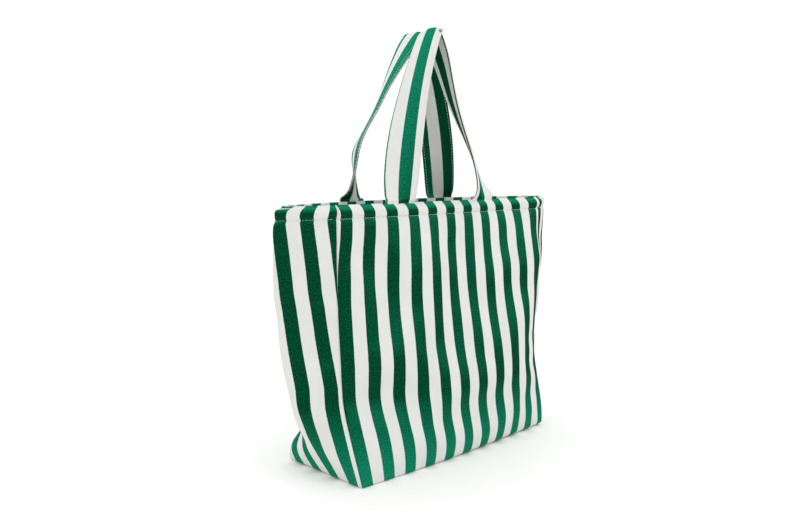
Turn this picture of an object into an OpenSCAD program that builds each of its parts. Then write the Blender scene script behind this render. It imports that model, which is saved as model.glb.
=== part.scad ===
// Striped canvas tote bag with two handles, lined, standing open on its flat base.
// Origin at the middle of the base on the floor. +X runs along the width, -Y is the front, +Z is up.
// Every wall is one patch of the same lofted outer surface, taken between two depths below that surface,
// so neighbouring cloth pieces meet at the seams and never cross.

/* [Bag body] */
// Width of the base along X
base_w = 458; // [430:1:480]
// Depth of the base along Y
base_d = 180; // [165:1:190]
// Height of the top edge when the bag stands
body_h = 430; // [400:1:450]
// How far the front and back stand out in a belly, a third of the way up
belly = 34; // [24:1:36]
// How far the front right corner seam is drawn in at half height
right_seam_in = 12; // [0:1:14]

/* [Mouth] */
// Half width of the mouth at the corner seams
mouth_seam_x = 226; // [218:1:232]
// Half width of the mouth at the side folds
mouth_tip_x = 319; // [305:1:325]
// Distance of the front left corner seam from the middle plane at the mouth
left_seam_y = 33; // [30:1:36]
// Distance of the front right corner seam from the middle plane at the mouth
right_seam_y = 55; // [50:1:57]
// Distance of the back corner seams from the middle plane at the mouth
back_seam_y = 38; // [32:1:42]
// How far the back edge of the mouth bows out in the middle
back_bow = 24; // [18:1:26]
// How far the right side fold leans to the front at the mouth
right_tip_forward = 16; // [8:1:18]
// How far the left side fold leans to the back at half height
left_tip_back = 6; // [0:1:8]
// Sharpness of the side folds at the mouth, as a share of the half gusset
tip_round = 0.18; // [0.12:0.01:0.3]

/* [Cloth] */
// Thickness of the striped canvas
canvas_t = 2; // [1.6:0.1:2.2]
// Thickness of the wadding folded into the hem
hem_pad_t = 2.8; // [2.4:0.1:3.2]
// Thickness of the facing that lines the mouth
facing_t = 1.4; // [1:0.1:1.8]
// Thickness of the cotton lining
lining_t = 0.8; // [0.6:0.1:1.2]
// Height of the hem, from the top edge to its row of stitches
hem_h = 21; // [18:1:24]
// Height of the striped facing inside the mouth
facing_h = 45; // [38:1:60]
// Thickness of the stiff board in the base
board_t = 2.4; // [2:0.1:3]

/* [Handles] */
// Width of the handle strap
strap_w = 58; // [50:1:60]
// Thickness of the handle strap
strap_t = 4; // [3:0.2:5]
// Distance between the middles of one handle's two legs
leg_spacing = 200; // [180:2:210]
// Rise of a handle above the top edge
handle_rise = 283; // [260:1:300]
// Sideways place of the back handle's middle
back_handle_x = -6; // [-12:1:6]
// Distance of the front handle's top from the middle plane
front_top_y = 31; // [30:1:36]
// Distance of the back handle's top from the middle plane
back_top_y = 31; // [30:1:36]

/* [Slip pocket] */
// Width of the slip pocket on the back lining
pocket_w = 200; // [160:5:220]
// Height of the slip pocket
pocket_h = 140; // [120:5:150]
// How far the pocket's mouth stands off the lining
pocket_gape = 20; // [18:1:22]

/* [Hidden] */

GREEN = "#006b45";
WHITE = "#ececE8";
LINING = "#d8d5cc";
BOARD = "#8a8578";

// The four walls, counted anticlockwise seen from above
FRONT = 0;
RIGHT = 1;
BACK = 2;
LEFT = 3;

sew_gap = 0.3;                                   // daylight left between two cloth pieces
seam_share = sew_gap / base_w;                   // the same gap as a share of a wall's half width
canvas_in = canvas_t;                            // depths are measured inwards from the outer face
pad_out = canvas_in + sew_gap;
pad_in = pad_out + hem_pad_t;
facing_out = pad_in + sew_gap;
facing_in = facing_out + facing_t;
lining_out = canvas_in + sew_gap;
lining_in = lining_out + lining_t;
end_out = pad_out;                               // the strap's sewn ends are pressed thinner in the hem
end_in = pad_in;
end_tail = 26;                                   // how far the strap's ends reach down inside the hem
floor_t = canvas_t;
board_z = floor_t + sew_gap;
base_lining_z = board_z + board_t + sew_gap;
inside_z = base_lining_z + lining_t;
floor_room = 1.2;                                // room between the canvas base and the canvas walls
lean_room = 3.6;                                 // room between the board and the lining, higher up
wall_columns = 16;                               // flat facets across and up each wall
wall_rows = 16;
facing_t0 = 1 - facing_h / body_h;
hem_t0 = 1 - hem_h / body_h;

function smooth(x) = x * x * (3 - 2 * x);

// Rounding of the side folds: sharp at the mouth, a plain flat side at the base
function fold_round(t) = tip_round + 1.4 * pow(1 - t, 3);
function fold_share(w, t) =
    let (e = fold_round(t), full = sqrt(1 + e * e))
    (full - sqrt(w * w + e * e)) / (full - e);

// Outline of the bag at the height share t, from 0 at the base to 1 at the mouth
function seam_x(t) = base_w / 2 * (1 - t) + mouth_seam_x * t;
// The front right corner seam is drawn in around this height share, fading over this reach
drawn_t = 0.4;
drawn_reach = 0.2;
function front_right_x(t) = seam_x(t) - right_seam_in * exp(-pow((t - drawn_t) / drawn_reach, 2));
function narrowing(t, mouth_y) = mouth_y + (base_d / 2 - mouth_y) * pow(1 - t, 3.2);
function front_left_y(t) = narrowing(t, left_seam_y);
// The front right corner stands at this distance from the middle plane between these height shares
full_y = 77;
full_from_t = 0.35;
full_to_t = 0.7;
function front_right_y(t) =
    base_d / 2 - (base_d / 2 - full_y) * smooth(min(1, t / full_from_t))
        - (full_y - right_seam_y) * smooth(max(0, (t - full_to_t) / (1 - full_to_t)));
function back_y(t) = narrowing(t, back_seam_y);
// The belly is fullest at this height share, and fades faster below it than above
belly_t = 0.3;
belly_below = 0.3;
belly_above = 0.4;
function belly_y(t) =
    let (reach = t < belly_t ? belly_below : belly_above)
    belly * exp(-pow((t - belly_t) / reach, 2)) * (1 - pow(1 - t, 12));
function back_bow_y(t) = back_bow * smooth(min(1, t / 0.5));
function tip_x(t) = base_w / 2 + (mouth_tip_x - base_w / 2) * (1 - pow(1 - t, 2.7));
function tip_y(t, side) = side > 0 ? -right_tip_forward * t * t : left_tip_back * 4 * t * (1 - t);
function share(low, high, v) = low + (high - low) * v;

// A wall point: a runs from -1 to 1 along the wall, anticlockwise seen from above
function front_wall(a, t) =
    let (v = (a + 1) / 2)
    [share(-seam_x(t), front_right_x(t), v),
     -share(front_left_y(t), front_right_y(t), v) - belly_y(t) * (1 - pow(a, 4))];
function back_wall(a, t) =
    [-a * seam_x(t), back_y(t) + belly_y(t) * (1 - pow(a, 4)) + back_bow_y(t) * (1 - a * a)];
// w runs from the front seam to the back seam
function side_wall(w, t, side) =
    let (
        front_x = side > 0 ? front_right_x(t) : seam_x(t),
        front_y = side > 0 ? front_right_y(t) : front_left_y(t),
        v = (w + 1) / 2,
        x = share(front_x, seam_x(t), v),
        middle_y = (back_y(t) - front_y) / 2
    )
    [side * (x + (tip_x(t) - (front_x + seam_x(t)) / 2) * fold_share(w, t)),
     share(-front_y, back_y(t), v) + (tip_y(t, side) - middle_y) * (1 - w * w)];
function wall(p, a, t) =
    p == FRONT ? front_wall(a, t) :
    p == BACK ? back_wall(a, t) :
    p == RIGHT ? side_wall(a, t, 1) : side_wall(-a, t, -1);

// Inward normal of the outline, and its mitre at a corner seam
function normal(p, a, t) =
    let (h = 0.002, q = wall(p, min(a + h, 1), t) - wall(p, max(a - h, -1), t))
    [-q[1], q[0]] / norm(q);
function mitre(n1, n2) = (n1 + n2) / (1 + n1 * n2);
function inward(p, a, t) =
    a > 0.999 ? mitre(normal(p, 1, t), normal((p + 1) % 4, -1, t)) :
    a < -0.999 ? mitre(normal(p, -1, t), normal((p + 3) % 4, 1, t)) : normal(p, a, t);
function wall_cloth(p, a, t, depth) =
    let (s = 1 - seam_share)
    wall(p, max(-s, min(s, a)), t) + inward(p, a, t) * depth;
// Inside a fold the layers lie deeper, by the length of the fold's sloping side over its half opening
function fold_depth(t) =
    let (half = (front_left_y(t) + back_y(t)) / 2)
    norm([tip_x(t) - seam_x(t), half]) / half;
function gusset_cloth(p, a, t, depth) =
    let (
        side = p == RIGHT ? 1 : -1,
        start = wall_cloth(p, -1, t, depth),
        end = wall_cloth(p, 1, t, depth),
        middle = (start + end) / 2,
        reach = side * (tip_x(t) - depth * fold_depth(t)) - middle[0]
    )
    start + (end - start) * (a + 1) / 2
        + [reach * fold_share(a, t), (tip_y(t, side) - middle[1]) * (1 - a * a)];
function cloth(p, a, t, depth) =
    let (q = p == FRONT || p == BACK ? wall_cloth(p, a, t, depth) : gusset_cloth(p, a, t, depth))
    [q[0], q[1], t * body_h];

// A closed solid between two grids of (nu + 1) by (nv + 1) points
function grid_faces(nu, nv) =
    let (w = nu + 1, n = w * (nv + 1))
    concat(
        [for (j = [0 : nv - 1], i = [0 : nu - 1]) [j * w + i, j * w + i + w, j * w + i + 1]],
        [for (j = [0 : nv - 1], i = [0 : nu - 1]) [j * w + i + 1, j * w + i + w, j * w + i + w + 1]],
        [for (j = [0 : nv - 1], i = [0 : nu - 1]) [n + j * w + i, n + j * w + i + 1, n + j * w + i + w]],
        [for (j = [0 : nv - 1], i = [0 : nu - 1]) [n + j * w + i + 1, n + j * w + i + w + 1, n + j * w + i + w]],
        [for (i = [0 : nu - 1]) each quad(i, i + 1, n + i + 1, n + i)],
        [for (i = [0 : nu - 1]) each quad(nv * w + i + 1, nv * w + i, n + nv * w + i, n + nv * w + i + 1)],
        [for (j = [0 : nv - 1]) each quad(j * w + w, j * w, n + j * w, n + j * w + w)],
        [for (j = [0 : nv - 1]) each quad(j * w + nu, j * w + w + nu, n + j * w + w + nu, n + j * w + nu)]
    );
function quad(a, b, c, d) = [[a, b, c], [a, c, d]];

module grid_solid(outer, inner, nu, nv) {
    polyhedron(points = concat(outer, inner), faces = grid_faces(nu, nv), convexity = 6);
}

// One patch of cloth on wall p, through the height shares in rows, between a0 and a1 and depths d0 and d1
module patch(p, rows, d0, d1, nu = wall_columns, a0 = -1, a1 = 1) {
    grid_solid(
        [for (t = rows, i = [0 : nu]) cloth(p, a0 + (a1 - a0) * i / nu, t, d0)],
        [for (t = rows, i = [0 : nu]) cloth(p, a0 + (a1 - a0) * i / nu, t, d1)],
        nu, len(rows) - 1);
}

// Outer walls of striped canvas, with one more row where the hem begins
module panel(p) {
    lower_rows = [for (j = [0 : wall_rows - 1]) j / wall_rows];
    patch(p, concat(lower_rows, [hem_t0, 1]), 0, canvas_in);
}
module front_panel() {
    color(GREEN) panel(FRONT);
}
module right_gusset() {
    color(WHITE) panel(RIGHT);
}
module back_panel() {
    color(GREEN) panel(BACK);
}
module left_gusset() {
    color(WHITE) panel(LEFT);
}

// A flat sheet that fills the base inside the walls, which lean in a little over its height
module base_sheet(depth, z, t) {
    translate([0, 0, z])
    linear_extrude(t)
    square([base_w - 2 * depth, base_d - 2 * depth], center = true);
}
module base_panel() {
    color(GREEN) base_sheet(canvas_in + floor_room, 0, floor_t);
}
module base_board() {
    color(BOARD) base_sheet(lining_in + lean_room, board_z, board_t);
}
module base_lining() {
    color(LINING) base_sheet(lining_in + lean_room, base_lining_z, lining_t);
}

// Striped facing around the inside of the mouth
module facing(p) {
    patch(p, [facing_t0, (facing_t0 + 1) / 2, 1], facing_out, facing_in);
}
module front_facing() {
    color(GREEN) facing(FRONT);
}
module right_facing() {
    color(WHITE) facing(RIGHT);
}
module back_facing() {
    color(GREEN) facing(BACK);
}
module left_facing() {
    color(WHITE) facing(LEFT);
}

// Cotton lining, from the base up to the lower edge of the facing, on the same rows as the canvas
lining_t0 = inside_z / body_h / 2;
lining_t1 = facing_t0 - 0.002;
module lining(p) {
    shared_rows = [for (j = [1 : wall_rows - 1]) if (j / wall_rows < lining_t1) j / wall_rows];
    patch(p, concat([lining_t0], shared_rows, [lining_t1]), lining_out, lining_in);
}
module front_lining() {
    color(LINING) lining(FRONT);
}
module right_lining() {
    color(LINING) lining(RIGHT);
}
module back_lining() {
    color(LINING) lining(BACK);
}
module left_lining() {
    color(LINING) lining(LEFT);
}

// Places of the strap ends along a long wall, as shares of its half width at the mouth
function leg_share(x) = x / mouth_seam_x;
half_leg = strap_w / 2;
front_legs = [-leg_spacing / 2, leg_spacing / 2];
back_legs = [-leg_spacing / 2 - back_handle_x, leg_spacing / 2 - back_handle_x];

// Wadding in the hem, in pieces between the strap ends
pad_top_t = 1 - 0.5 / body_h;
module wadding(p, a0, a1) {
    patch(p, [hem_t0, pad_top_t], pad_out, pad_in, 6, a0, a1);
}
module long_wadding(p, legs) {
    room = half_leg + 1;
    wadding(p, -1, leg_share(legs[0] - room));
    wadding(p, leg_share(legs[0] + room), leg_share(legs[1] - room));
    wadding(p, leg_share(legs[1] + room), 1);
}
module hem_padding() {
    color(WHITE) {
        long_wadding(FRONT, front_legs);
        long_wadding(BACK, back_legs);
        patch(RIGHT, [hem_t0, pad_top_t], pad_out, pad_in);
        patch(LEFT, [hem_t0, pad_top_t], pad_out, pad_in);
    }
}

// The row of stitches under the hem, lying on the outer face
module hem_stitching() {
    stitch_h = 0.9;
    color(GREEN)
    for (p = [FRONT : LEFT])
        patch(p, [hem_t0 - stitch_h / body_h, hem_t0], -0.7, -0.15);
}

// The two sewn ends of a strap, between the canvas and the facing
module strap_ends(p, legs) {
    for (x = legs)
        patch(p, [1 - end_tail / body_h, 1], end_out, end_in, 4,
            leg_share(x - half_leg), leg_share(x + half_leg));
}
module front_handle_ends() {
    color(GREEN) strap_ends(FRONT, front_legs);
}
module back_handle_ends() {
    color(GREEN) strap_ends(BACK, back_legs);
}

// A handle: the strap rises from one leg, narrows to a rounded top and comes down the other leg.
// It lies flat against the mouth at its legs and turns a quarter over its height, so that its
// face looks up at the top.
arch_x_power = 1.2;
arch_z_power = 1.8;
leg_lift = 4;                                    // the free strap starts this far above the top edge
arch_rings = 44;
function arch_angle(u) = 180 * u;
function arch_point(u, feet, y1, x0) =
    let (
        c = cos(arch_angle(u)),
        s = sin(arch_angle(u)),
        rise = pow(s, arch_z_power),
        y0 = share(feet[1], feet[0], (1 + c) / 2)
    )
    [x0 - sign(c) * pow(abs(c), arch_x_power) * leg_spacing / 2,
     y0 + (y1 - y0) * rise,
     body_h + leg_lift + (handle_rise - leg_lift) * rise];
function arch_tangent(u, feet, y1, x0) =
    let (d = 0.004, q = arch_point(min(u + d, 1), feet, y1, x0) - arch_point(max(u - d, 0), feet, y1, x0))
    q / norm(q);
function strap_ring(u, feet, y1, x0, out) =
    let (
        p = arch_point(u, feet, y1, x0),
        tan = arch_tangent(u, feet, y1, x0),
        plane = cross([1, 0, 0], [0, y1 - (feet[0] + feet[1]) / 2, handle_rise]),
        flat = -out * plane / norm(plane),
        lift = cross(tan, flat * out),
        turn = 90 * smooth(min(1, min(u, 1 - u) / 0.42)),
        face = flat * cos(turn) + lift * sin(turn),
        side = cross(tan, face),
        w = strap_w / 2,
        e = strap_t / 2
    )
    [p + side * w, p + side * (w - e) + face * e, p - side * (w - e) + face * e,
     p - side * w, p - side * (w - e) - face * e, p + side * (w - e) - face * e];
// Turns the even steps into even lengths along the strap, near enough
function arch_step(i) = let (v = i / arch_rings) v + 0.035 * sin(720 * v) * -1;
function tube_faces(rings, n) = concat(
    [[for (i = [0 : n - 1]) i]],
    [[for (i = [n - 1 : -1 : 0]) rings * n + i]],
    [for (r = [0 : rings - 1], i = [0 : n - 1])
        each quad(r * n + i, (r + 1) * n + i, (r + 1) * n + (i + 1) % n, r * n + (i + 1) % n)]
);
module strap(feet, y1, x0, out) {
    points = [for (i = [0 : arch_rings]) each strap_ring(arch_step(i), feet, y1, x0, out)];
    polyhedron(points = points, faces = tube_faces(arch_rings, 6), convexity = 8);
}
hem_middle = (end_out + end_in) / 2;
// The mouth's edge at the middle of a strap, halfway into the hem
function foot_y(p, x) = cloth(p, leg_share(x), 1, hem_middle)[1];
// Each leg stands at its own place along the edge, so a handle's two feet differ a little in Y
front_feet = [foot_y(FRONT, front_legs[0]), foot_y(FRONT, front_legs[1])];
back_feet = [foot_y(BACK, back_legs[1]), foot_y(BACK, back_legs[0])];
module front_handle() {
    color(GREEN) strap(front_feet, -front_top_y, 0, -1);
}
module back_handle() {
    color(GREEN) strap(back_feet, back_top_y, back_handle_x, 1);
}

// Slip pocket sewn to the back lining along its sides and lower edge, open at the top
pocket_top_t = 0.8;
pocket_t0 = pocket_top_t - pocket_h / body_h;
pocket_half = pocket_w / 2 / mouth_seam_x;
pocket_cloth = 1;
pocket_off = 0.7;                                // from the lining to the pocket where it is sewn down
function pocket_stand(a, v) = pocket_gape * pow(1 - pow(abs(a), 4), 0.8) * pow(sin(90 * min(1, v * 1.15)), 0.9);
function pocket_point(i, nu, j, nv, more) =
    let (a = 2 * i / nu - 1, v = j / nv)
    cloth(BACK, a * pocket_half, pocket_t0 + (pocket_top_t - pocket_t0) * v,
        lining_in + pocket_off + pocket_stand(a, v) + more);
module slip_pocket() {
    nu = 14;
    nv = 8;
    color(LINING)
    grid_solid(
        [for (j = [0 : nv], i = [0 : nu]) pocket_point(i, nu, j, nv, 0)],
        [for (j = [0 : nv], i = [0 : nu]) pocket_point(i, nu, j, nv, pocket_cloth)],
        nu, nv);
}

front_panel();
right_gusset();
back_panel();
left_gusset();
base_panel();
front_facing();
right_facing();
back_facing();
left_facing();
front_lining();
right_lining();
back_lining();
left_lining();
base_lining();
base_board();
hem_padding();
hem_stitching();
slip_pocket();
front_handle_ends();
back_handle_ends();
front_handle();
back_handle();
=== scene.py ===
# A striped canvas tote bag with two handles, standing open on its flat base.
# Metres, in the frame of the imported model: +X along the width, -Y to the front, +Z up.
import math

import bpy
import numpy as np
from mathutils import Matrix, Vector


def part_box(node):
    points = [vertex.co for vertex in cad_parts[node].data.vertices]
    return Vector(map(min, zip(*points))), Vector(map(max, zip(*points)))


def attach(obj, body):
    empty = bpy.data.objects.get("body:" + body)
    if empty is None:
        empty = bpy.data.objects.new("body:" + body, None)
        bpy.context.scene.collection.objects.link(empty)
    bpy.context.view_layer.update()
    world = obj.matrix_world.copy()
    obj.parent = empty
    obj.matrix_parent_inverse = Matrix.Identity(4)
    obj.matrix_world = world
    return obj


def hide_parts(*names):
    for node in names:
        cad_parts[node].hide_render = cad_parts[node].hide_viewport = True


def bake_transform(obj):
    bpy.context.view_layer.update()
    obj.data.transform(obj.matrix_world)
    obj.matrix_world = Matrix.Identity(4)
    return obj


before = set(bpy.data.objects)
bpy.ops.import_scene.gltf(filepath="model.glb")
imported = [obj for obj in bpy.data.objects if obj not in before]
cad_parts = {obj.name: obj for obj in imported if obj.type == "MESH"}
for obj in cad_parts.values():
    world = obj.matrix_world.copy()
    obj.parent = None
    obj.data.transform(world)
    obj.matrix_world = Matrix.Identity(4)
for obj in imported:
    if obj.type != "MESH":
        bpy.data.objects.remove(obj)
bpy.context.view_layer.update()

# ---------------------------------------------------------------- Camera, floor and studio light
# A white studio: soft light from all round, brighter from above and from behind, a wide lamp
# overhead, and a pale matt floor that the bag stands on. The camera looks down a little on the
# front left corner.


def linear(hex_colour):
    channels = [int(hex_colour[i:i + 2], 16) / 255 for i in (1, 3, 5)]
    return [c / 12.92 if c <= 0.04045 else ((c + 0.055) / 1.055) ** 2.4 for c in channels] + [1.0]


def add_node(material, kind, links=None, **settings):
    """Adds a shader node. Settings name its properties or its inputs, and links its linked inputs."""
    node = material.node_tree.nodes.new(kind)
    for key, value in settings.items():
        if hasattr(node, key):
            setattr(node, key, value)
        else:
            node.inputs[key.replace("_", " ")].default_value = value
    for name, source in (links or {}).items():
        material.node_tree.links.new(source, node.inputs[name])
    return node


def new_material(name, roughness, sheen=0.0, gloss=0.5):
    """A material, and its shader."""
    material = bpy.data.materials.new(name)
    material.use_nodes = True
    shader = material.node_tree.nodes["Principled BSDF"]
    shader.inputs["Roughness"].default_value = roughness
    shader.inputs["Sheen Weight"].default_value = sheen
    shader.inputs["Specular IOR Level"].default_value = gloss
    return material, shader


camera_place = (-1.014, -0.988, 0.492)
camera_dip = 6.85
camera_turn = -43.6
camera_lens = 37.19
sensor_width = 36
camera = bpy.data.objects.new("camera", bpy.data.cameras.new("camera"))
bpy.context.scene.collection.objects.link(camera)
camera.location = camera_place
camera.rotation_euler = (math.radians(90 - camera_dip), 0, math.radians(camera_turn))
camera.data.lens = camera_lens
camera.data.sensor_width = sensor_width
bpy.context.scene.camera = camera


def area_light(name, place, aim, size, power):
    light = bpy.data.lights.new(name, "AREA")
    light.shape = "SQUARE"
    light.size = size
    light.energy = power
    lamp = bpy.data.objects.new(name, light)
    bpy.context.scene.collection.objects.link(lamp)
    lamp.location = place
    lamp.rotation_euler = (Vector(aim) - Vector(place)).to_track_quat("-Z", "Y").to_euler()


area_light("overhead_light", (-0.2, -0.6, 2.2), (0, 0, 0.3), 1.6, 6)

brighter_towards = (0.13, 0.14, 0.40)
even_light = 0.86
world = bpy.data.worlds.new("studio")
world.use_nodes = True
bpy.context.scene.world = world
room = world.node_tree.nodes["Background"]
room.inputs["Color"].default_value = (1, 1, 1, 1)
direction = add_node(world, "ShaderNodeTexCoord").outputs["Generated"]
brighter_side = add_node(world, "ShaderNodeVectorMath", {0: direction}, operation="DOT_PRODUCT")
brighter_side.inputs[1].default_value = brighter_towards
brightness = add_node(world, "ShaderNodeMath", {0: brighter_side.outputs["Value"]}, operation="ADD")
brightness.inputs[1].default_value = even_light
world.node_tree.links.new(brightness.outputs[0], room.inputs["Strength"])
bpy.context.scene.view_settings.view_transform = "Standard"

floor_half = 6.0
floor_mesh = bpy.data.meshes.new("floor")
floor_corners = [(-1, -1), (1, -1), (1, 1), (-1, 1)]
floor_mesh.from_pydata([(x * floor_half, y * floor_half, 0) for x, y in floor_corners], [], [(0, 1, 2, 3)])
floor = bpy.data.objects.new("floor", floor_mesh)
bpy.context.scene.collection.objects.link(floor)

# Matt white paint: pale and even, with no shine.
floor_paint, floor_shader = new_material("matt_white_floor", 0.9)
floor_shader.inputs["Base Color"].default_value = linear("#fbfbfa")
floor_mesh.materials.append(floor_paint)

# ---------------------------------------------------------------- Canvas walls
# Four walls of heavy cotton canvas, printed with straight green stripes on white, cut to
# pattern, sewn together at the corner seams and turned right side out. The long walls belly
# out above the base and the side walls fold in towards the mouth.
MM = 0.001
FRONT, RIGHT, BACK, LEFT = 0, 1, 2, 3

bag_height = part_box("front_panel")[1].z
beside_base = 3.2 * MM                              # the walls stand this far outside the base panel
base_half_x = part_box("base_panel")[1].x + beside_base
base_half_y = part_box("base_panel")[1].y + beside_base
mouth_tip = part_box("right_gusset")[1].x
mouth_seam_x = 226 * MM
left_seam_y, right_seam_y, back_seam_y = 33 * MM, 55 * MM, 38 * MM
full_corner_y = 77 * MM
belly_out = 34 * MM
back_bow_out = 24 * MM
right_seam_in = 12 * MM
right_tip_forward = 16 * MM
left_tip_back = 6 * MM
tip_round = 0.18
canvas_thick = 2 * MM
hem_height = 21 * MM
stitch_line = bag_height - hem_height


def smooth(x):
    x = np.clip(x, 0, 1)
    return x * x * (3 - 2 * x)


def fold_share(w, t):
    """How far out a side wall stands across its width, from 0 at the seams to 1 at the fold."""
    e = tip_round + 1.4 * (1 - t) ** 3
    full = np.sqrt(1 + e * e)
    return (full - np.sqrt(w * w + e * e)) / (full - e)


def seam_x(t):
    return base_half_x * (1 - t) + mouth_seam_x * t


def front_right_x(t):
    return seam_x(t) - right_seam_in * np.exp(-((t - 0.4) / 0.2) ** 2)


def narrowing(t, at_mouth):
    return at_mouth + (base_half_y - at_mouth) * (1 - t) ** 3.2


def front_right_y(t):
    """The front right corner stays full up to two thirds of the height."""
    low = (base_half_y - full_corner_y) * smooth(t / 0.35)
    return base_half_y - low - (full_corner_y - right_seam_y) * smooth((t - 0.7) / 0.3)


def belly(t):
    reach = np.where(t < 0.3, 0.3, 0.4)
    return belly_out * np.exp(-((t - 0.3) / reach) ** 2) * (1 - (1 - t) ** 12)


def tip_x(t):
    return base_half_x + (mouth_tip - base_half_x) * (1 - (1 - t) ** 2.7)


def tip_y(t, side):
    return -right_tip_forward * t * t if side > 0 else left_tip_back * 4 * t * (1 - t)


def outline(wall, a, t):
    """Where the outer face stands at height share t. a runs from -1 to 1 along the wall,
    anticlockwise from above."""
    if wall == FRONT:
        v = (a + 1) / 2
        x = -seam_x(t) * (1 - v) + front_right_x(t) * v
        y = -narrowing(t, left_seam_y) * (1 - v) - front_right_y(t) * v - belly(t) * (1 - a ** 4)
        return np.stack([x, y], -1)
    if wall == BACK:
        bow = back_bow_out * smooth(t / 0.5) * (1 - a * a)
        return np.stack([-a * seam_x(t), narrowing(t, back_seam_y) + belly(t) * (1 - a ** 4) + bow], -1)
    side = 1 if wall == RIGHT else -1
    w = a * side
    front_x = front_right_x(t) if side > 0 else seam_x(t)
    front_y = front_right_y(t) if side > 0 else narrowing(t, left_seam_y)
    back_y = narrowing(t, back_seam_y)
    v = (w + 1) / 2
    out = front_x * (1 - v) + seam_x(t) * v + (tip_x(t) - (front_x + seam_x(t)) / 2) * fold_share(w, t)
    lean = (tip_y(t, side) - (back_y - front_y) / 2) * (1 - w * w)
    return np.stack([side * out, -front_y * (1 - v) + back_y * v + lean], -1)


def inward_normal(wall, a, t):
    step = 0.002
    q = outline(wall, np.minimum(a + step, 1), t) - outline(wall, np.maximum(a - step, -1), t)
    n = np.stack([-q[..., 1], q[..., 0]], -1)
    return n / np.linalg.norm(n, axis=-1, keepdims=True)


def corner_normal(wall, end, t):
    """The mitre between two walls at the corner seam at that end of the first."""
    one = np.full_like(t, 1.0)
    n1 = inward_normal(wall, one * end, t)
    n2 = inward_normal((wall + end) % 4, -one * end, t)
    return (n1 + n2) / (1 + (n1 * n2).sum(-1, keepdims=True))


def fold_depth(t):
    """How much deeper than its own thickness a layer lies inside a side fold."""
    half = (narrowing(t, left_seam_y) + narrowing(t, back_seam_y)) / 2
    return np.hypot(tip_x(t) - seam_x(t), half) / half


# Where the standing cloth has settled: the place, the reach and the push of each soft bulge, in mm.
settled = [
    ((-75, -60, 350), (80, 60, 90), (0, -11, 0)),
    ((150, -50, 430), (60, 40, 32), (0, 7, 0)),
    ((228, -57, 430), (26, 40, 60), (8, -2, 0)),
    ((-155, -75, 122), (70, 60, 44), (0, 15, 0)),
    ((-10, -100, 28), (170, 60, 40), (0, -12, 0)),
    ((150, -95, 215), (40, 60, 60), (0, -4, 0)),
    ((-238, 78, 22), (26, 40, 24), (-6, 4, 0)),
    ((-236, 70, 62), (28, 50, 20), (6, -3, 0)),
    ((0, 100, 30), (190, 60, 40), (0, 9, 0)),
    ((-120, 80, 240), (60, 50, 110), (0, 6, 0)),
    ((110, 85, 190), (80, 50, 70), (0, -6, 0)),
]


def settle(points):
    moved = points.copy()
    for place, reach, push in settled:
        far = (points - np.array(place) * MM) / (np.array(reach) * MM)
        moved += np.exp(-(far ** 2).sum(-1, keepdims=True)) * np.array(push) * MM
    return moved


def shell(wall, a, z, depth):
    """Points in the bag's wall: along it, at height z, and depth in from the outer face."""
    a, z, depth = np.broadcast_arrays(np.asarray(a, float), np.asarray(z, float), np.asarray(depth, float))
    t = z / bag_height
    d = depth[..., None]
    start = outline(wall, np.full_like(t, -1.0), t) + corner_normal(wall, -1, t) * d
    end = outline(wall, np.full_like(t, 1.0), t) + corner_normal(wall, 1, t) * d
    if wall in (FRONT, BACK):
        flat = outline(wall, a, t) + inward_normal(wall, a, t) * d
        near = smooth((np.abs(a) - 0.97) / 0.03)[..., None]
        flat = flat * (1 - near) + np.where(a[..., None] > 0, end, start) * near
    else:
        side = 1 if wall == RIGHT else -1
        middle = (start + end) / 2
        reach = side * (tip_x(t) - depth * fold_depth(t)) - middle[..., 0]
        lean = tip_y(t, side) - middle[..., 1]
        flat = start + (end - start) * ((a + 1) / 2)[..., None]
        flat = flat + np.stack([reach * fold_share(a, t), lean * (1 - a * a)], -1)
    return settle(np.concatenate([flat, z[..., None]], -1)) + slack_at(wall, a, z)


slack = {}


def slack_at(wall, a, z):
    """How far the slack cloth has moved from the shape it hangs in, between the base and the hem."""
    if wall not in slack:
        return 0.0
    moves = slack[wall]
    across = np.clip((a + 1) / 2, 0, 1) * (moves.shape[1] - 1)
    up = np.clip((z - slack_low) / (slack_high - slack_low), 0, 1) * (moves.shape[0] - 1)
    i = np.minimum(across.astype(int), moves.shape[1] - 2)
    j = np.minimum(up.astype(int), moves.shape[0] - 2)
    s, t = (across - i)[..., None], (up - j)[..., None]
    low = moves[j, i] * (1 - s) + moves[j, i + 1] * s
    high = moves[j + 1, i] * (1 - s) + moves[j + 1, i + 1] * s
    return low * (1 - t) + high * t


def turn_under(wall, a, z):
    """How far in the outer face has turned just above the floor, where the wall meets the base."""
    x = outline(wall, a, z / bag_height)[..., 0]
    radius = (5 + 6 * smooth((x + 0.2) / 0.42)) * MM
    left = np.clip(radius - z, 0, None)
    return radius - np.sqrt(np.clip(radius ** 2 - left ** 2, 0, None))


def canvas_depth(wall, a, z):
    """The outer face of the canvas: drawn in at the corner seams and at the hem's stitches,
    full and round over the wadding in the hem, and turned under at the base."""
    run = base_half_x if wall in (FRONT, BACK) else 0.1
    from_seam = (1 - np.abs(a)) * run
    seam_dip = 1.6 * MM * np.exp(-(from_seam / (2.2 * MM)) ** 2)
    below = (stitch_line - z) / (5 * MM)
    pinch = 1.6 * MM * np.exp(-np.abs(below) ** 1.5) * (z < stitch_line)
    v = np.clip((z - stitch_line) / hem_height, 0, 1)
    at_fold = np.exp(-(a / 0.45) ** 2) if wall in (RIGHT, LEFT) else 0 * a
    roll = (1.6 - 4.0 * (1 - 0.85 * at_fold) * np.sin(np.pi * np.minimum(v, 0.72) / 0.9) ** 0.75) * MM
    crown = 5.0 * MM * smooth((v - 0.6) / 0.4) ** 1.6
    hem = np.where(z >= stitch_line, roll + crown, 0)
    return seam_dip + pinch + hem + turn_under(wall, a, z)


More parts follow.
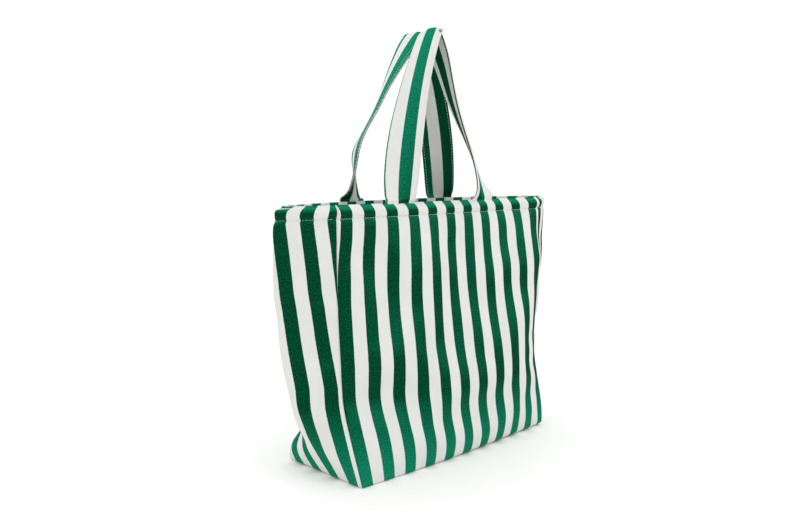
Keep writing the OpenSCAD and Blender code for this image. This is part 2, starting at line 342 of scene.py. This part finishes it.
wall_columns = {FRONT: 92, BACK: 92, RIGHT: 56, LEFT: 56}
foot_rows = np.array([0, 1, 2.5, 4.5, 7, 10, 14]) * MM
wall_rows = np.linspace(18 * MM, stitch_line - 8 * MM, 60)
hem_steps = [-5, -3, -1.5, -0.5, 0, 0.6, 1.6, 3, 5, 7.5, 10, 12.5, 15, 17, 18.5, 19.8, 20.6, 21]
hem_rows = stitch_line + np.array(hem_steps) * MM
canvas_rows = np.concatenate([foot_rows, wall_rows, hem_rows])

# The cloth between base and hem is a little larger than the shape it hangs in, so it buckles
# softly under its own weight. A cloth simulation finds those buckles on a coarser ring of walls.
slack_low, slack_high = 14 * MM, stitch_line - 8 * MM
slack_limit = 6 * MM
slack_rows = 36
slack_frames = 30
slack_seed = 11


def simulate_slack():
    """Hangs a ring of slack cloth in the walls' shape, and keeps how far each part of it has moved,
    eased so that nothing moves as far as the limit."""
    z = np.linspace(slack_low, slack_high, slack_rows)[:, None]
    ring, held, spans = [], [], {}
    for wall in (FRONT, RIGHT, BACK, LEFT):
        columns = wall_columns[wall] // 2
        a = np.linspace(-1, 1, columns + 1)[None, :-1]
        spans[wall] = (sum(part.shape[1] for part in ring), columns)
        ring.append(shell(wall, a, z, canvas_thick / 2))
        near_seam = np.exp(-((1 - np.abs(a)) / 0.05) ** 2)
        near_low = np.exp(-((z - slack_low) / (18 * MM)) ** 2)
        near_end = near_low + np.exp(-((z - slack_high) / (14 * MM)) ** 2)
        held.append(np.clip(0.12 + 0.6 * near_seam + near_end, 0, 1))
    rest = np.concatenate(ring, axis=1)
    around = rest.shape[1]
    chance = np.random.default_rng(slack_seed)
    start = rest + chance.normal(0, 0.15 * MM, rest.shape)
    index = np.arange(slack_rows * around).reshape(slack_rows, around)
    following = np.roll(index, -1, axis=1)
    faces = np.stack([index[:-1], following[:-1], following[1:], index[1:]], -1).reshape(-1, 4)
    mesh = bpy.data.meshes.new("slack_cloth")
    mesh.from_pydata(start.reshape(-1, 3).tolist(), [], faces.tolist())
    ring_object = bpy.data.objects.new("slack_cloth", mesh)
    bpy.context.scene.collection.objects.link(ring_object)
    group = ring_object.vertex_groups.new(name="held")
    for vertex, weight in enumerate(np.concatenate(held, axis=1).ravel()):
        group.add([vertex], float(weight), "REPLACE")
    cloth = ring_object.modifiers.new("cloth", "CLOTH")
    cloth.settings.quality = 5
    cloth.settings.mass = 0.02
    cloth.settings.tension_stiffness = 40
    cloth.settings.compression_stiffness = 40
    cloth.settings.shear_stiffness = 15
    cloth.settings.bending_stiffness = 4
    cloth.settings.vertex_group_mass = "held"
    cloth.settings.pin_stiffness = 1.0
    cloth.settings.shrink_min = -0.012
    cloth.point_cache.frame_start = 1
    cloth.point_cache.frame_end = slack_frames
    for frame_number in range(1, slack_frames + 1):
        bpy.context.scene.frame_set(frame_number)
    settled_mesh = ring_object.evaluated_get(bpy.context.evaluated_depsgraph_get()).to_mesh()
    places = np.zeros(slack_rows * around * 3)
    settled_mesh.vertices.foreach_get("co", places)
    moves = places.reshape(slack_rows, around, 3) - rest
    bpy.context.scene.frame_set(1)
    bpy.data.objects.remove(ring_object)
    size = np.linalg.norm(moves, axis=-1, keepdims=True)
    moves = moves * slack_limit / (slack_limit + size)
    moves[..., 2] = 0
    fade = np.clip(1 - np.exp(-((z - slack_low) / (14 * MM)) ** 2), 0, 1)
    fade = fade * np.clip(1 - np.exp(-((z - slack_high) / (12 * MM)) ** 2), 0, 1)
    moves = np.concatenate([moves, moves[:, :1]], axis=1) * fade[..., None]
    for wall, (first, columns) in spans.items():
        part = moves[:, first:first + columns + 1]
        slack[wall] = finer(part)


def finer(grid):
    """The same grid with twice the rows and columns, smoothed so that no facets show."""
    for axis in (0, 1):
        count = grid.shape[axis]
        at = np.linspace(0, count - 1, 2 * count - 1)
        low = np.minimum(at.astype(int), count - 2)
        share = (at - low).reshape([-1 if i == axis else 1 for i in range(3)])
        grid = np.take(grid, low, axis) * (1 - share) + np.take(grid, low + 1, axis) * share
    for _ in range(3):
        grid[1:-1] = (grid[:-2] + 2 * grid[1:-1] + grid[2:]) / 4
        grid[:, 1:-1] = (grid[:, :-2] + 2 * grid[:, 1:-1] + grid[:, 2:]) / 4
    return grid


simulate_slack()

# The print: straight stripes of one width, and where each pattern piece was cut from it.
stripe = 21.9 * MM
half_stripe = stripe / 2
front_cut = 8 * MM
gusset_cut = 31 * MM
gusset_bend = 150 * MM
gusset_first = 16 * MM
hem_slant = 5 * MM


def stripe_place(wall, points):
    """The cloth's own coordinate across the stripes, measured along the wall from the middle of a
    green stripe. It stays as it is at the hem's stitches in the rows above them."""
    steps = np.linalg.norm(np.diff(points[..., :2], axis=1), axis=-1)
    run = np.concatenate([np.zeros((len(points), 1)), np.cumsum(steps, axis=1)], axis=1)
    z = points[..., 2]
    if wall == FRONT:
        place = run - front_cut * smooth((z - 290 * MM) / (140 * MM)) - half_stripe
    elif wall == BACK:
        place = run - run[:, -1:] / 2
    else:
        from_front = run if wall == RIGHT else run[:, -1:] - run
        cut = gusset_cut * np.clip((stitch_line - z) / (stitch_line - gusset_bend), 0, 1)
        place = from_front + cut - (gusset_first - half_stripe)
    at_stitches = int(np.argmin(np.abs(z[:, 0] - (stitch_line - 5 * MM))))
    in_hem = z > stitch_line - 5 * MM
    slant = hem_slant * np.clip((z - stitch_line) / hem_height, 0, 1)
    return np.where(in_hem, place[at_stitches][None, :] + slant, place)


def cloth_piece(name, grids, material):
    """A closed piece of cloth. Each grid has its outer and inner points, its flat coordinates, and
    those across the inner face where they differ."""
    points, faces, flat_places = [], [], []
    first = 0
    for outer, inner, u, v, *inner_u in grids:
        rows, columns = outer.shape[:2]
        count = rows * columns
        points += [outer.reshape(-1, 3), inner.reshape(-1, 3)]
        flat_places += [np.stack([place.ravel(), v.ravel()], -1) for place in (u, *(inner_u or [u]))]
        face = np.arange(count).reshape(rows, columns) + first
        back = face + count
        sides = [(face[:-1, :-1], face[:-1, 1:], face[1:, 1:], face[1:, :-1]),
                 (back[:-1, :-1], back[1:, :-1], back[1:, 1:], back[:-1, 1:]),
                 (face[0, 1:], face[0, :-1], back[0, :-1], back[0, 1:]),
                 (face[-1, :-1], face[-1, 1:], back[-1, 1:], back[-1, :-1]),
                 (face[:-1, 0], face[1:, 0], back[1:, 0], back[:-1, 0]),
                 (face[1:, -1], face[:-1, -1], back[:-1, -1], back[1:, -1])]
        faces += [np.stack([corner.ravel() for corner in side], -1) for side in sides]
        first += 2 * count
    mesh = bpy.data.meshes.new(name)
    mesh.from_pydata(np.concatenate(points).tolist(), [], np.concatenate(faces).tolist())
    at = np.zeros(len(mesh.loops), np.int32)
    mesh.loops.foreach_get("vertex_index", at)
    flat = mesh.uv_layers.new(name="cloth")
    flat.data.foreach_set("uv", np.concatenate(flat_places)[at].ravel())
    mesh.polygons.foreach_set("use_smooth", np.ones(len(mesh.polygons), bool))
    mesh.materials.append(material)
    mesh.update()
    piece = bpy.data.objects.new(name, mesh)
    bpy.context.scene.collection.objects.link(piece)
    return piece


def height_along(points):
    steps = np.linalg.norm(np.diff(points, axis=0), axis=-1)
    return np.concatenate([np.zeros((1, points.shape[1])), np.cumsum(steps, axis=0)])


# Cotton canvas, woven plain and printed: matt, with a faint bloom of fibre at grazing angles,
# threads that catch the light, and stripe edges that step a little from thread to thread.
thread = 1.5 * MM                                   # drawn coarser than the real 0.8 mm, to show


def woven_bump(material, shader, uv, thread_size, strength):
    """A plain weave: warp and weft threads pass over each other by turns."""
    split = add_node(material, "ShaderNodeSeparateXYZ", {"Vector": uv})
    humps = []
    for axis in ("X", "Y"):
        turn = add_node(material, "ShaderNodeMath", {0: split.outputs[axis]}, operation="MULTIPLY")
        turn.inputs[1].default_value = math.pi / thread_size
        wave = add_node(material, "ShaderNodeMath", {0: turn.outputs[0]}, operation="SINE")
        humps.append(add_node(material, "ShaderNodeMath", {0: wave.outputs[0]}, operation="ABSOLUTE"))
    over = add_node(material, "ShaderNodeTexChecker", {"Vector": uv}, Scale=1 / thread_size)
    weave = add_node(material, "ShaderNodeMix", {
        "Factor": over.outputs["Fac"], "A": humps[0].outputs[0], "B": humps[1].outputs[0]})
    slub = add_node(material, "ShaderNodeTexNoise", {"Vector": uv}, Scale=1 / (3.2 * MM), Detail=2.0)
    height = add_node(material, "ShaderNodeMath", {0: weave.outputs[0], 1: slub.outputs["Fac"]},
                      operation="ADD")
    bump = add_node(material, "ShaderNodeBump", {"Height": height.outputs[0]},
                    Strength=strength, Distance=0.35 * MM)
    material.node_tree.links.new(bump.outputs["Normal"], shader.inputs["Normal"])


def step_between(material, value, low, high):
    """0 below low and 1 above high, with an even slope between."""
    slope = add_node(material, "ShaderNodeMapRange", {"Value": value})
    slope.inputs["From Min"].default_value = low
    slope.inputs["From Max"].default_value = high
    return slope.outputs[0]


def mix_colours(material, factor, first, second):
    mix = add_node(material, "ShaderNodeMix", {"Factor": factor}, data_type="RGBA")
    for name, colour in (("A", first), ("B", second)):
        if isinstance(colour, str):
            mix.inputs[name].default_value = linear(colour)
        else:
            material.node_tree.links.new(colour, mix.inputs[name])
    return mix.outputs["Result"]


def printed_canvas(name, height_light_from, height_light_to, tops_light_from, tops_light_to):
    """Painted light: the green turns from deep to a pale, lit copy of itself between two heights, and where
    the cloth faces upwards.
    """
    material, shader = new_material(name, 0.9, 0.008, 0.02)
    uv = add_node(material, "ShaderNodeUVMap", uv_map="cloth").outputs[0]
    split = add_node(material, "ShaderNodeSeparateXYZ", {"Vector": uv})
    ragged = add_node(material, "ShaderNodeTexNoise", {"Vector": uv}, Scale=1 / (1.6 * MM), Detail=1.0)
    shift = add_node(material, "ShaderNodeMath", {0: ragged.outputs["Fac"]}, operation="MULTIPLY_ADD")
    shift.inputs[1].default_value = 0.9 * MM
    shift.inputs[2].default_value = -0.45 * MM
    across = add_node(material, "ShaderNodeMath", {0: split.outputs["X"], 1: shift.outputs[0]},
                      operation="ADD")
    swing = add_node(material, "ShaderNodeMath", {0: across.outputs[0]}, operation="PINGPONG")
    swing.inputs[1].default_value = stripe
    printed = step_between(material, swing.outputs[0], half_stripe + 0.25 * MM, half_stripe - 0.25 * MM)
    mottle = add_node(material, "ShaderNodeTexNoise", {"Vector": uv}, Scale=1 / (2.6 * MM), Detail=3.0,
                      Roughness=0.7)
    grain = step_between(material, mottle.outputs["Fac"], 0.36, 0.64)
    cloud = add_node(material, "ShaderNodeTexNoise", {"Vector": uv}, Scale=1 / (60 * MM), Detail=2.0)
    # Painted light: pale is a lit copy of the deep green. It is mixed in low on the wall and on faces turned
    # upwards.
    deep = mix_colours(material, grain, "#01281a", "#045a3b")
    pale = mix_colours(material, grain, "#076b4a", "#1a9c79")
    light_by_height = step_between(material, split.outputs["Y"], height_light_from, height_light_to)
    facing = add_node(material, "ShaderNodeNewGeometry")
    upward = add_node(material, "ShaderNodeSeparateXYZ", {"Vector": facing.outputs["Normal"]})
    light_on_tops = step_between(material, upward.outputs["Z"], tops_light_from, tops_light_to)
    painted_light_share = add_node(material, "ShaderNodeMath", {0: light_by_height, 1: light_on_tops}, operation="MAXIMUM")
    green = mix_colours(material, painted_light_share.outputs[0], deep, pale)
    white = mix_colours(material, cloud.outputs["Fac"], "#dcdeda", "#ecedea")
    colour = mix_colours(material, printed, white, green)
    material.node_tree.links.new(colour, shader.inputs["Base Color"])
    woven_bump(material, shader, uv, thread, 0.5)
    return material


# Painted light on the walls: the green is pale within 0.13 m of the base along the cloth, and where the cloth
# faces upwards.
canvas = printed_canvas("printed_cotton_canvas", 0.13, 0.0, 0.1, 0.8)
wall_names = {FRONT: "front_panel", RIGHT: "right_gusset", BACK: "back_panel", LEFT: "left_gusset"}
walls = {}
for wall, name in wall_names.items():
    a, z = np.broadcast_arrays(np.linspace(-1, 1, wall_columns[wall] + 1)[None, :], canvas_rows[:, None])
    face = canvas_depth(wall, a, z)
    outer = shell(wall, a, z, face)
    inner = shell(wall, a, z, face + canvas_thick)
    grid = (outer, inner, stripe_place(wall, outer), height_along(outer))
    walls[wall] = cloth_piece(name, [grid], canvas)
    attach(walls[wall], "bag")
    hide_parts(name)

# ---------------------------------------------------------------- Base
# A rectangle of the same canvas closes the bottom, sewn to the walls all round. A stiff fibre
# board lies loose on it, under the lining.


between_seams = 0.985                               # how near to the corner seams it comes


def base_sheet(name, inset, z, thickness, material):
    """A flat sheet that reaches out to the canvas walls' outer face at its height, less the inset."""
    share = np.linspace(-between_seams, between_seams, 61)[None, :]
    front = shell(FRONT, share, z, canvas_depth(FRONT, share, z) + inset)[0]
    back = shell(BACK, -share, z, canvas_depth(BACK, -share, z) + inset)[0]
    v = np.linspace(0, 1, 25)[:, None, None]
    low = front[None] * (1 - v) + back[None] * v
    low[..., 2] = z
    high = low + np.array([0, 0, thickness])
    grid = (high, low, low[..., 0] + half_stripe, low[..., 1])
    piece = cloth_piece(name, [grid], material)
    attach(piece, "bag")
    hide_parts(name)
    return piece


base_panel = base_sheet("base_panel", 0.6 * MM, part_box("base_panel")[0].z + 0.3 * MM, canvas_thick, canvas)

# Pressed fibre board: matt, brownish grey, with fine pale and dark fibres.
board_paint, board_shader = new_material("pressed_fibre_board", 0.8)
board_place = add_node(board_paint, "ShaderNodeTexCoord").outputs["Object"]
fibres = add_node(board_paint, "ShaderNodeTexNoise", {"Vector": board_place}, Scale=1 / (2 * MM), Detail=4.0)
board_colour = mix_colours(board_paint, fibres.outputs["Fac"], "#6f6a5c", "#9d9889")
board_paint.node_tree.links.new(board_colour, board_shader.inputs["Base Color"])
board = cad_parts["base_board"]
board.data.materials.clear()
board.data.materials.append(board_paint)

# ---------------------------------------------------------------- Facing
# A band of the striped canvas lines the mouth inside the hem. It is sewn to the walls along the
# top edge and by the hem's row of stitches, and hides the ends of the handles.
facing_thick = 1.2 * MM
facing_rows = bag_height - np.array([45, 36, 29, 25, 22.5, 21, 19.5, 17, 13, 9, 5.5, 3, 1.4, 0.4, 0]) * MM
facing_low = facing_rows[0]


def facing_depth(z):
    """The facing's outer side: round over the wadding and pinched at the stitches."""
    down = bag_height - z
    padded = 1.8 * MM * np.sin(np.pi * np.clip(down / hem_height, 0, 1)) ** 0.8
    pinch = 1.6 * MM * np.exp(-((down - hem_height) / (3.5 * MM)) ** 2)
    crown = 0.9 * MM * np.exp(-down / (1.6 * MM))
    return 6.0 * MM + padded - pinch - crown


for wall, side in ((FRONT, "front"), (RIGHT, "right"), (BACK, "back"), (LEFT, "left")):
    a, z = np.broadcast_arrays(np.linspace(-1, 1, wall_columns[wall] + 1)[None, :], facing_rows[:, None])
    outer = shell(wall, a, z, facing_depth(z) + facing_thick)
    inner = shell(wall, a, z, facing_depth(z))
    name = side + "_facing"
    facing = cloth_piece(name, [(outer, inner, stripe_place(wall, outer), z)], canvas)
    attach(facing, "bag")
    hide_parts(name)

# ---------------------------------------------------------------- Hem wadding and stitches
# Soft white wadding fills the hem between the canvas and the facing, in lengths between the
# handles' ends. A row of even stitches in white thread runs round below it.
strap_width = 58 * MM
leg_places = {FRONT: (-100 * MM, 100 * MM), BACK: (-94 * MM, 124 * MM)}

# Bonded polyester wadding: bright, soft and fluffy, so it takes a soft sheen and no highlights.
wadding_paint, wadding_shader = new_material("bonded_polyester_wadding", 1.0, 0.4)
wadding_place = add_node(wadding_paint, "ShaderNodeTexCoord").outputs["Object"]
fluff = add_node(wadding_paint, "ShaderNodeTexNoise", {"Vector": wadding_place}, Scale=1 / (3 * MM),
                 Detail=5.0)
wadding_colour = mix_colours(wadding_paint, fluff.outputs["Fac"], "#d9dad6", "#f1f1ee")
wadding_paint.node_tree.links.new(wadding_colour, wadding_shader.inputs["Base Color"])

wadding_rows = stitch_line + np.array([2, 5, 9, 13, 16, 18]) * MM
lengths = []
for wall in wall_names:
    ends = [(-1, 1)]
    if wall in leg_places:
        half_gap = strap_width / 2 + 1 * MM
        low, high = ([(x - half_gap) / mouth_seam_x, (x + half_gap) / mouth_seam_x] for x in leg_places[wall])
        ends = [(-1, low[0]), (low[1], high[0]), (high[1], 1)]
    for start, stop in ends:
        a, z = np.broadcast_arrays(np.linspace(start, stop, 41)[None, :], wadding_rows[:, None])
        swell = np.sin(np.pi * (z - wadding_rows[0]) / (wadding_rows[-1] - wadding_rows[0])) * 1.0 * MM
        lengths.append((shell(wall, a, z, 2.9 * MM - swell), shell(wall, a, z, 4.6 * MM + swell), a, z))
wadding = cloth_piece("hem_padding", lengths, wadding_paint)
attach(wadding, "bag")
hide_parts("hem_padding")


def stitches(name, lines, material, pitch=5 * MM, length=3.8 * MM, thick=0.7 * MM):
    """Rows of separate stitches. Each line has its points and the outward directions at them."""
    corners, faces = [], []
    along = np.array([-1, -0.55, 0.55, 1]) * length / 2
    full = np.array([0.25, 1, 1, 0.25]) * thick / 2
    turns = np.arange(5) * 2 * math.pi / 5
    for line, outward in lines:
        steps = np.linalg.norm(np.diff(line, axis=0), axis=-1)
        run = np.concatenate([[0], np.cumsum(steps)])
        middles = np.arange(pitch / 2, run[-1] - pitch / 2, pitch)
        place = np.stack([np.interp(middles, run, line[:, i]) for i in range(3)], -1)
        out = np.stack([np.interp(middles, run, outward[:, i]) for i in range(3)], -1)
        ahead = np.stack([np.interp(middles, run, np.gradient(line[:, i])) for i in range(3)], -1)
        ahead /= np.linalg.norm(ahead, axis=-1, keepdims=True)
        out /= np.linalg.norm(out, axis=-1, keepdims=True)
        across = np.cross(ahead, out)
        ring = (across[:, None, None] * np.cos(turns)[None, None, :, None]
                + out[:, None, None] * 0.7 * np.sin(turns)[None, None, :, None]) * full[None, :, None, None]
        tube = place[:, None, None] + ahead[:, None, None] * along[None, :, None, None] + ring
        first = sum(len(c) for c in corners)
        corners.append(tube.reshape(-1, 3))
        for k in range(len(middles)):
            at = first + k * 20
            faces.append([at + 4, at + 3, at + 2, at + 1, at])
            faces.append([at + 15 + j for j in range(5)])
            for r in range(3):
                for j in range(5):
                    low, high = at + r * 5, at + r * 5 + 5
                    faces.append([low + j, low + (j + 1) % 5, high + (j + 1) % 5, high + j])
    mesh = bpy.data.meshes.new(name)
    mesh.from_pydata(np.concatenate(corners).tolist(), [], faces)
    mesh.polygons.foreach_set("use_smooth", np.ones(len(mesh.polygons), bool))
    mesh.materials.append(material)
    piece = bpy.data.objects.new(name, mesh)
    bpy.context.scene.collection.objects.link(piece)
    return piece


# Spun polyester thread: white, twisted, with a slight silky highlight.
thread_paint, thread_shader = new_material("spun_polyester_thread", 0.45, 0.1)
thread_place = add_node(thread_paint, "ShaderNodeTexCoord").outputs["Object"]
twist = add_node(thread_paint, "ShaderNodeTexWave", {"Vector": thread_place}, Scale=1 / (2 * MM),
                 Distortion=1.0)
thread_colour = mix_colours(thread_paint, twist.outputs["Fac"], "#cdd1cb", "#e6e8e4")
thread_paint.node_tree.links.new(thread_colour, thread_shader.inputs["Base Color"])

seam_lines = []
for wall in wall_names:
    a = np.linspace(-between_seams, between_seams, 161)
    z = np.full_like(a, stitch_line - 0.4 * MM)
    lift = canvas_depth(wall, a, z) - 0.1 * MM
    line = shell(wall, a, z, lift)
    seam_lines.append((line, line - shell(wall, a, z, lift + 1 * MM)))
hem_stitches = stitches("hem_stitching", seam_lines, thread_paint)
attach(hem_stitches, "bag")
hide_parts("hem_stitching")

# ---------------------------------------------------------------- Lining
# Plain off-white cotton, sewn into a loose bag inside the canvas: four walls up to the facing
# and a rectangle over the base board.
lining_thick = 0.8 * MM

# Plain-woven undyed cotton: fine threads, faint creases and a warm off-white.
lining_cloth, lining_shader = new_material("undyed_cotton_lining", 0.92, 0.05, 0.15)
lining_uv = add_node(lining_cloth, "ShaderNodeUVMap", uv_map="cloth").outputs[0]
creases = add_node(lining_cloth, "ShaderNodeTexNoise", {"Vector": lining_uv}, Scale=1 / (35 * MM), Detail=3.0)
lining_colour = mix_colours(lining_cloth, creases.outputs["Fac"], "#cfccc2", "#e2e0d8")
lining_cloth.node_tree.links.new(lining_colour, lining_shader.inputs["Base Color"])
woven_bump(lining_cloth, lining_shader, lining_uv, 0.9 * MM, 0.35)

lining_rows = np.linspace(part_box("base_lining")[0].z, facing_low - 1 * MM, 34)


def lining_depth(wall, a, z):
    return canvas_depth(wall, a, z) + canvas_thick + 0.4 * MM


for wall, side in ((FRONT, "front"), (RIGHT, "right"), (BACK, "back"), (LEFT, "left")):
    columns = wall_columns[wall] // 2
    a, z = np.broadcast_arrays(np.linspace(-1, 1, columns + 1)[None, :], lining_rows[:, None])
    outer = shell(wall, a, z, lining_depth(wall, a, z))
    inner = shell(wall, a, z, lining_depth(wall, a, z) + lining_thick)
    name = side + "_lining"
    width = a * (0.225 if wall in (FRONT, BACK) else 0.1)
    lining = cloth_piece(name, [(outer, inner, width, z)], lining_cloth)
    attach(lining, "bag")
    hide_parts(name)

base_lining = base_sheet("base_lining", 2.8 * MM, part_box("base_lining")[0].z, lining_thick, lining_cloth)

# ---------------------------------------------------------------- Slip pocket
# A rectangle of the lining cotton, sewn to the back lining along its sides and lower edge. Its
# open top edge stands away a little.
pocket_low, pocket_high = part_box("slip_pocket")
pocket_half = (pocket_high.x - pocket_low.x) / 2 / mouth_seam_x
pocket_gape = 20 * MM
a, v = np.meshgrid(np.linspace(-1, 1, 41), np.linspace(0, 1, 25))
z = pocket_low.z + (pocket_high.z - pocket_low.z) * v
stand = pocket_gape * (1 - a ** 4) ** 0.8 * np.sin(np.pi / 2 * np.minimum(1, v * 1.15)) ** 0.9
depth = lining_depth(BACK, a * pocket_half, z) + lining_thick + 0.3 * MM + stand
pocket_face = shell(BACK, a * pocket_half, z, depth + 1 * MM)
pocket_grid = (pocket_face, shell(BACK, a * pocket_half, z, depth), a * 0.1, z)
pocket = cloth_piece("slip_pocket", [pocket_grid], lining_cloth)
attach(pocket, "bag")
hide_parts("slip_pocket")

# ---------------------------------------------------------------- Handles
# Each handle is one strap of the striped canvas, folded lengthwise and sewn along both edges. Its
# ends are sewn into the hem between the canvas and the facing. It twists a quarter turn up each leg.
strap_thick = 4 * MM
leg_lift = 4 * MM
tail = 26 * MM


def strap(wall, top_x, top_y, turns, sway):
    """The middle line of a strap, and the directions across it and out of its outer face. turns
    gives how far it has twisted, in degrees, at shares of its length. sway is the leg, -1 or 1,
    that leans sideways, the share of the rise where it leans most, its reach and its amount."""
    side = -1 if wall == FRONT else 1
    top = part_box("front_handle" if wall == FRONT else "back_handle")[1].z - strap_thick / 2 - bag_height
    rings = 110
    u = np.linspace(0, 1, rings + 1)
    u = u - 0.035 * np.sin(4 * np.pi * u)
    c, s = np.cos(np.pi * u), np.abs(np.sin(np.pi * u))
    rise = s ** 1.8
    feet = []
    for x in leg_places[wall] if wall == FRONT else leg_places[wall][::-1]:
        a = x / mouth_seam_x
        foot = shell(wall, np.array([a - 0.05, a, a + 0.05]), bag_height, 4.4 * MM)
        feet.append((foot[1], (foot[2] - foot[0]) * -side))
    left = (1 + c) / 2
    foot_y = feet[0][0][1] * left + feet[1][0][1] * (1 - left)
    half = np.where(c > 0, top_x - feet[0][0][0], feet[1][0][0] - top_x)
    leg, lean_at, lean_reach, lean = sway
    leaning = smooth(0.5 - leg * c * 1.5) * np.exp(-((rise - lean_at) / lean_reach) ** 2) * lean
    spread = np.sign(c) * np.abs(c) ** (1.05 + 0.42 * rise) * half
    line = np.stack([top_x - spread + leaning * smooth(rise / 0.1),
                     foot_y + (side * top_y - foot_y) * rise,
                     bag_height + leg_lift + (top - leg_lift) * rise], -1)
    steps = 7
    down = np.linspace(tail, tail / steps, steps)[:, None] * np.array([0, 0, -1.0])
    line = np.concatenate([line[:1] + down, line, line[-1:] + down[::-1]])
    ahead = np.gradient(line, axis=0)
    ahead /= np.linalg.norm(ahead, axis=-1, keepdims=True)
    plane = np.array([0, top, -(side * top_y - foot_y.mean())])
    plane = plane / np.linalg.norm(plane)
    share = np.clip((np.arange(len(line)) - steps) / rings, 0, 1)
    level = smooth((line[:, 2] - bag_height) / (80 * MM))[:, None]
    edge = np.where(share[:, None] < 0.5, feet[0][1], feet[1][1])
    edge = edge / np.linalg.norm(edge, axis=-1, keepdims=True)
    hem_out = np.cross([0, 0, 1.0], edge) * side
    flat = side * (plane * level + hem_out * side * (1 - level))
    flat /= np.linalg.norm(flat, axis=-1, keepdims=True)
    turn = np.interp(share, *zip(*turns))
    for _ in range(4):
        turn[1:-1] = (turn[:-2] + 2 * turn[1:-1] + turn[2:]) / 4
    turn = np.radians(turn)
    up = np.cross(ahead, flat * side)
    up /= np.linalg.norm(up, axis=-1, keepdims=True)
    face = flat * np.cos(turn)[:, None] + up * np.sin(turn)[:, None]
    return line, np.cross(ahead, face), face


def strap_layer(line, across, face, w, out):
    """Points at share w of the strap's half width, and out along its face."""
    aside = across[:, None] * (w * strap_width / 2)[None, :, None]
    return line[:, None] + aside + face[:, None] * out[..., None]


# The same canvas, folded and pressed flat: paler wherever it faces upwards, which is painted light from
# above.
strap_canvas = printed_canvas("folded_canvas_strap", -1.0, -2.0, -0.3, 0.5)
front_turns = [(0, 0), (0.1, 16), (0.2, 50), (0.28, 72), (0.36, 82), (0.5, 90),
               (0.66, 78), (0.78, 50), (0.88, 34), (0.95, 8), (1, 0)]
back_turns = [(0, 0), (0.145, 45), (0.18, 60), (0.22, 54), (0.27, 57), (0.31, 72), (0.37, 86), (0.5, 90),
              (0.7, 60), (0.85, 25), (1, 0)]
edge_curl = 5 * MM                                  # how far both edges curl in above the hem
seam_pitch = 5.5 * MM
# For each strap, the middle of its wide green stripe on the outer face, and on the inner face.
outer_green = {FRONT: 6 * MM, BACK: 18 * MM}
inner_green = {FRONT: -8 * MM, BACK: 18 * MM}
for wall, name, top_x, top_y, turns, sway in (
        (FRONT, "front_handle", -12 * MM, 22 * MM, front_turns, (1, 0.55, 0.3, -18 * MM)),
        (BACK, "back_handle", 0.0, 27 * MM, back_turns, (-1, 0.3, 0.16, -15 * MM))):
    line, across, face = strap(wall, top_x, top_y, turns, sway)
    w = np.array([-1, -0.985, -0.95, -0.9, -0.7, -0.4, -0.1, 0.1, 0.4, 0.7, 0.9, 0.95, 0.985, 1])
    round_edge = np.sqrt(np.clip(1 - np.clip((np.abs(w) - 0.93) / 0.07, 0, 1) ** 2, 0, 1))
    in_hem = smooth((bag_height + 3 * MM - line[:, 2]) / (6 * MM))[:, None]
    thick = strap_thick / 2 * (0.25 + 0.75 * round_edge)[None, :] * (1 - 0.55 * in_hem)
    run = height_along(line[:, None])[:, 0]
    u = np.broadcast_to(w * strap_width / 2 - outer_green[wall], thick.shape)
    v = np.broadcast_to(run[:, None], thick.shape)
    high = smooth((line[:, 2] - bag_height - 60 * MM) / (200 * MM))[:, None]
    curl = -edge_curl * high * w[None, :] ** 2
    across = across * (1 - 0.12 * high)
    outer = strap_layer(line, across, face, w, curl + thick)
    inner = strap_layer(line, across, face, w, curl - thick)
    inner_u = np.broadcast_to(w * strap_width / 2 - inner_green[wall], thick.shape)
    handle = cloth_piece(name, [(outer, inner, u, v, inner_u)], strap_canvas)
    seam = np.array([-0.88, 0.88])
    # Each seam's stitches stop just short of the top, where the strap turns over sharply.
    middle = len(line) // 2
    above = np.flatnonzero((line[:, 2] > bag_height + 1 * MM) & (line[:, 2] < line[middle, 2] - 1.5 * MM))
    rows = []
    for leg in (above[above < middle], above[above > middle]):
        for sign in (1, -1):
            lifted = sign * (strap_thick / 2 + 0.1 * MM) - edge_curl * high[leg] * seam[None, :] ** 2
            rows_at = strap_layer(line[leg], across[leg], face[leg], seam, lifted)
            rows += [(rows_at[:, 0], face[leg] * sign), (rows_at[:, 1], face[leg] * sign)]
    seams = stitches(name + "_seams", rows, thread_paint, pitch=seam_pitch)
    for piece in (handle, seams):
        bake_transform(piece)
    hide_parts(name, name + "_ends")
